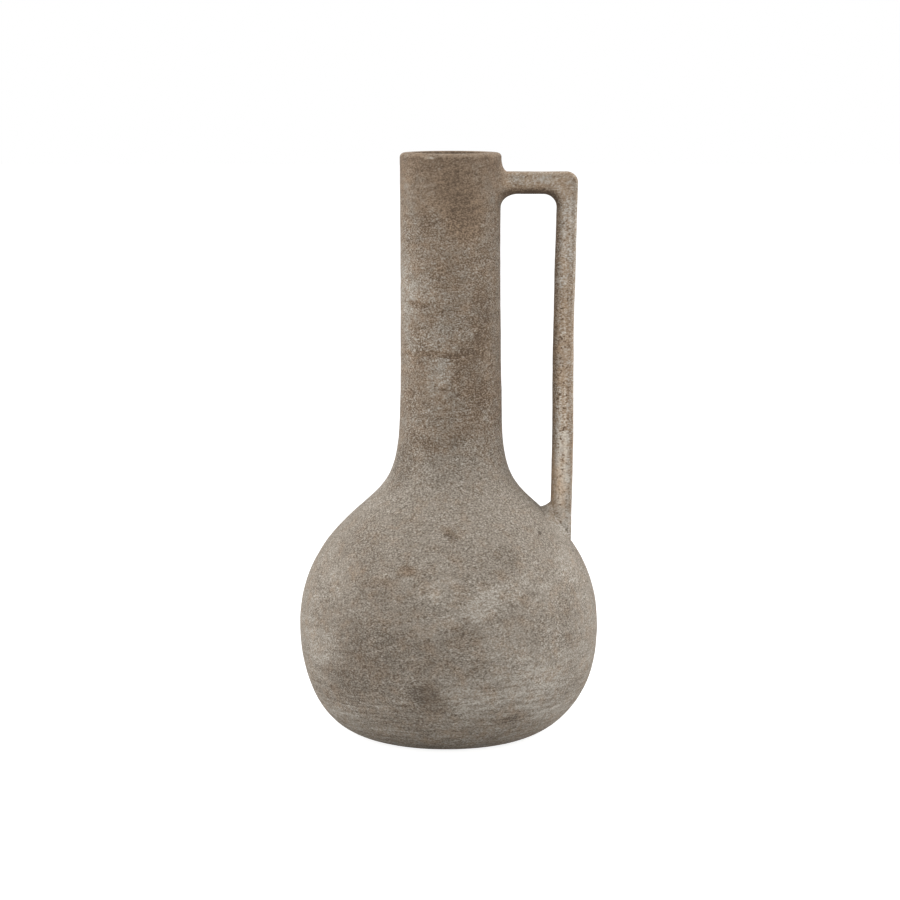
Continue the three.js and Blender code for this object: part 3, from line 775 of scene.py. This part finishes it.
foot_heights = np.full(len(upright_top), SHOULDER[1])
for _ in range(SADDLE_FITS):
    foot_heights = on_shoulder(upright_at(foot_heights), SLIP)[:, 2]
foot_rim = upright_at(foot_heights)
steps_down = np.linspace(0, 1, UPRIGHT_STEPS)[1:]
upright_length = [
    (upright_at(BEND_UPRIGHT + (foot_heights - BEND_UPRIGHT) * t), upright_ways) for t in steps_down]
foot_saddle = [(loop, None) for loop in loops(on_shoulder, foot_rim, SLIP, SADDLE_SHARES)]
upright_rows = mitre_face(1)[::-1] + bend_rows[mitre:] + upright_length + foot_saddle[::-1]
faded = [strap_wash_and_shade * (1 - FOOT_FADE * smooth(t, FADE_FROM, 1)) for t in steps_down]
upright_wash_and_shade = [strap_wash_and_shade] * (len(upright_rows) - len(upright_length) - len(foot_saddle)) + faded
upright_wash_and_shade += faded[-1:] * len(foot_saddle)
handle_upright = skinned("handle_upright", upright_rows, False, terracotta, upright_wash_and_shade)

# Luting slip of the handle
# Thin plates of the same liquid clay, which glue the two saddle cuts and the mitred corner. They stop short
# of the strap's faces, so the smoothed clay hides them.
PLATE_SHARES = (0, 0.4, 0.8)


def plate(name, first, second):
    """A plate between two faces, each given as loops from its middle out."""
    piece = skinned(name, [(loop, None) for loop in first + second[::-1]], False, slip)


plate("arm_slip", loops(neck_wall, arm_end, SLIP_FIT, PLATE_SHARES),
      loops(neck_wall, arm_end, SLIP - SLIP_FIT, PLATE_SHARES))
plate("foot_slip", loops(on_shoulder, foot_rim, SLIP - SLIP_FIT, PLATE_SHARES),
      loops(on_shoulder, foot_rim, SLIP_FIT, PLATE_SHARES))
corner_loops = loops(np.add, mitre_rim, 0, PLATE_SHARES)
half_plate = mitre_way * (SLIP / 2 - SLIP_FIT)
plate("corner_slip", [loop - half_plate for loop in corner_loops],
      [loop + half_plate for loop in corner_loops])

# Fillets of the handle
# Soft coils of clay pressed into the corners where the strap meets the neck and the shoulder, and smoothed
# until no seam is left. They are widest under the arm, and next to nothing on the outside of the foot.
FEATHER = 0.04  # how far the thinned edges sink into the clay beside them
COIL_ROOT = 0.12  # how far the buried root of a coil sinks
FILLET_STEPS = 14
ARM_ROOT_OVER_NECK, ARM_ROOT_OVER_ARM = (9.5, 7.0, 9.0), (5.0, 7.0, 11.5)  # above, beside and below the arm
FOOT_OVER_SHOULDER, FOOT_OVER_UPRIGHT = (1.2, 4.0, 7.0), (1.5, 4.0, 10.5)  # outside, beside and inside it
ARM_ROOT_FLATNESS, FOOT_FLATNESS = 0.0, 0.8  # a coil's face, from hollow (0) to flat (1)
SHOULDER_RISE = 1.0  # how far the shoulder's face at the foot looks up


def varied(ways, outer, side, inner):
    """A fillet's size for each outward direction of the strap's section."""
    lift = ways[:, 0] + ways[:, 2]
    return side + lift ** 2 * np.where(lift > 0, outer - side, inner - side)


def fillet(name, rim, ways, wall, normals, over_wall, over_strap, flatness, sense, strap_end):
    """A fillet round a strap's end, which thins out over the wall and over the strap.

    normals are the wall's outward directions, and sense is the order of rows that turns the faces out.
    """
    rows, reach = [], []
    for turn in np.linspace(0, math.pi / 2, FILLET_STEPS)[::sense]:
        climb = turn * 2 / math.pi
        out_share = 1 - math.sin(turn) + flatness * (math.sin(turn) - climb)
        rise_share = 1 - math.cos(turn) + flatness * (math.cos(turn) - 1 + climb)
        out = -FEATHER + (over_wall + FEATHER) * out_share
        rise = -FEATHER + (over_strap + FEATHER) * rise_share
        rows.append((wall(rim + ways * out[:, None], rise), math.cos(turn) * normals + math.sin(turn) * ways))
        reach.append(strap_end * math.sin(turn) ** 2)
    root = wall(rim - ways * COIL_ROOT, -COIL_ROOT)
    piece = skinned(name, rows + [(root, None)], True, terracotta, reach + [strap_end])


def leaning_onto_shoulder(points, gap):
    """On the shoulder or above it, shifted along with the lean of the upright."""
    moved = on_shoulder(points, gap)
    moved[:, 0] += (moved[:, 2] - points[:, 2]) * UPRIGHT_LEAN
    return moved


def outwards(points, rise):
    """Directions away from the axis that climb by a rise."""
    ways = points * (1, 1, 0)
    ways = ways / np.linalg.norm(ways, axis=1)[:, None] + (0, 0, rise)
    return ways / math.hypot(1, rise)


fillet("arm_root_fillet", arm_end, arm_ways, neck_wall, outwards(arm_rim, 0),
       varied(arm_ways, *ARM_ROOT_OVER_NECK), varied(arm_ways, *ARM_ROOT_OVER_ARM),
       ARM_ROOT_FLATNESS, 1, strap_wash_and_shade)
fillet("upright_foot_fillet", foot_rim, upright_ways, leaning_onto_shoulder,
       outwards(foot_rim, SHOULDER_RISE),
       varied(upright_ways, *FOOT_OVER_SHOULDER), varied(upright_ways, *FOOT_OVER_UPRIGHT),
       FOOT_FLATNESS, -1, faded[-1])

# Inner lining
# A thin dark glaze, poured in and out again, makes the vase watertight. It ends just below the lip and
# follows the throwing rings of the wall.
LINING_COLOUR = "33271e"
LINING_POOL = "4a382a"
LINING_ROUGHNESS = 0.22
LINING_IOR = 1.52
LINING_CLOUD_MM = 18
LINING_BELOW_LIP = 6.0
LINING_FIT = 0.05
LINING_THICK = 0.6
RING_PITCH, RING_DEPTH = 7.0, 0.25

# Melted to glass, the glaze shines in the mouth, and is a little browner where it pooled.
glaze = speckled(
    "lining_glaze", LINING_CLOUD_MM, 3.0, LINING_COLOUR, LINING_POOL, LINING_ROUGHNESS, LINING_IOR)
lining_top = LIP[1] - LINING_BELOW_LIP
face_gap = LINING_FIT + LINING_THICK
back = stretch(inside_line(LINING_FIT), FLOOR + LINING_FIT, lining_top, HIDDEN_STEP)
face = stretch(inside_line(face_gap), FLOOR + face_gap, lining_top, SKIN_STEP)
face[:, 0] += RING_DEPTH * np.sin(face[:, 1] * 2 * math.pi / RING_PITCH)
inner_glaze = turned("inner_glaze", [
    ([(0, back[0, 1])], False), (back, False), (face[::-1], False), ([(0, face[0, 1])], False),
], BODY_AROUND // 2, glaze)

# Table and light
# A plain pale table under big soft lights: one panel at each side, a little behind, one above and one in
# front. The room is white to the camera and dimmer to the vase, and the table keeps the vase's shadow.
TABLE_COLOUR = "c4c4c4"
TABLE_GLOW = 0.88  # lifts the table to white for the camera
TABLE_HALF = 10  # metres, as for the lights
ROOM_LIGHT = 0.42
WHITE = (1, 1, 1, 1)
LIGHT_AIM = Vector((0, 0, 0.18))
PANELS = (  # name, place, size, watts
    ("left_panel", (-1.3, 0.2, 0.6), 1.2, 12),
    ("right_panel", (1.3, 0.2, 0.6), 1.2, 12),
    ("top_panel", (0, -0.3, 1.6), 1.4, 10),
    ("front_panel", (-0.3, -2.0, 1.2), 1.6, 12),
)


def camera_white(tree):
    """1 for the rays that show the white background."""
    rays = node(tree, "ShaderNodeLightPath").outputs
    seen = rays["Is Camera Ray"]
    for other in ("Is Glossy Ray", "Is Transmission Ray"):
        seen = node(tree, "ShaderNodeMath", {0: seen, 1: rays[other]}, operation="MAXIMUM").outputs[0]
    return seen


table_mesh = bpy.data.meshes.new("table")
corners = [(x * TABLE_HALF, y * TABLE_HALF, 0) for x, y in ((-1, -1), (1, -1), (1, 1), (-1, 1))]
table_mesh.from_pydata(corners, [], [(0, 1, 2, 3)])
table = bpy.data.objects.new("table", table_mesh)
bpy.context.collection.objects.link(table)
# The table is covered in matt white paper, which shows only the soft shadow.
paper = empty_material("white_paper")
tree = paper.node_tree
matt = node(tree, "ShaderNodeBsdfDiffuse", {"Color": linear(TABLE_COLOUR)})
glow = node(tree, "ShaderNodeEmission", {"Strength": TABLE_GLOW})
lit = node(tree, "ShaderNodeAddShader", {0: matt.outputs[0], 1: glow.outputs[0]})
cover = node(tree, "ShaderNodeMixShader", {0: camera_white(tree), 1: matt.outputs[0], 2: lit.outputs[0]})
node(tree, "ShaderNodeOutputMaterial", {"Surface": cover.outputs[0]})
table_mesh.materials.append(paper)

world = bpy.data.worlds.new("studio")
bpy.context.scene.world = world
world.use_nodes = True
tree = world.node_tree
tree.nodes.clear()
room = node(tree, "ShaderNodeBackground", {"Color": WHITE, "Strength": ROOM_LIGHT})
white = node(tree, "ShaderNodeBackground", {"Color": WHITE, "Strength": 1.0})
both = node(tree, "ShaderNodeMixShader", {0: camera_white(tree), 1: room.outputs[0], 2: white.outputs[0]})
node(tree, "ShaderNodeOutputWorld", {"Surface": both.outputs[0]})

for name, spot, size, watts in PANELS:
    light = bpy.data.lights.new(name, "AREA")
    light.size = size
    light.energy = watts
    lamp = bpy.data.objects.new(name, light)
    lamp.location = spot
    lamp.rotation_euler = (LIGHT_AIM - Vector(spot)).to_track_quat("-Z", "Y").to_euler()
    bpy.context.collection.objects.link(lamp)

bpy.context.scene.view_settings.view_transform = "Standard"
